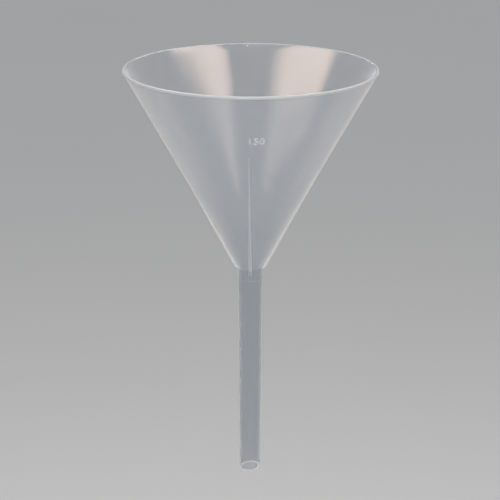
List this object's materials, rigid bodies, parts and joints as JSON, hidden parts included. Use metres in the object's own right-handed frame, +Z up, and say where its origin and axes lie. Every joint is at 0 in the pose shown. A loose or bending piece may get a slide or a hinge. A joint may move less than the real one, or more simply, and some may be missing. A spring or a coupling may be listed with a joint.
{
  "type": "long stem funnel",
  "caption": "Conical long stem laboratory funnel in milky plastic, with a beaded rim, thin vent ribs above the neck and a slanted tip, for pouring liquid into a vessel.",
  "frame": {"origin": "centre of the neck, where the outside of the cone meets the stem; the cone sits in what holds it just above this point", "axes": "+Z up the funnel's axis, from the stem to the mouth; -Y is the front, where the slanted tip faces; +X to the right seen from the front"},
  "size_m": [0.15, 0.15, 0.2606],
  "materials": {
    "milky_plastic": "milky, see-through, smooth moulded polypropylene"
  },
  "bodies": {
    "root": {"funnel": "milky_plastic"}
  },
  "joints": []
}
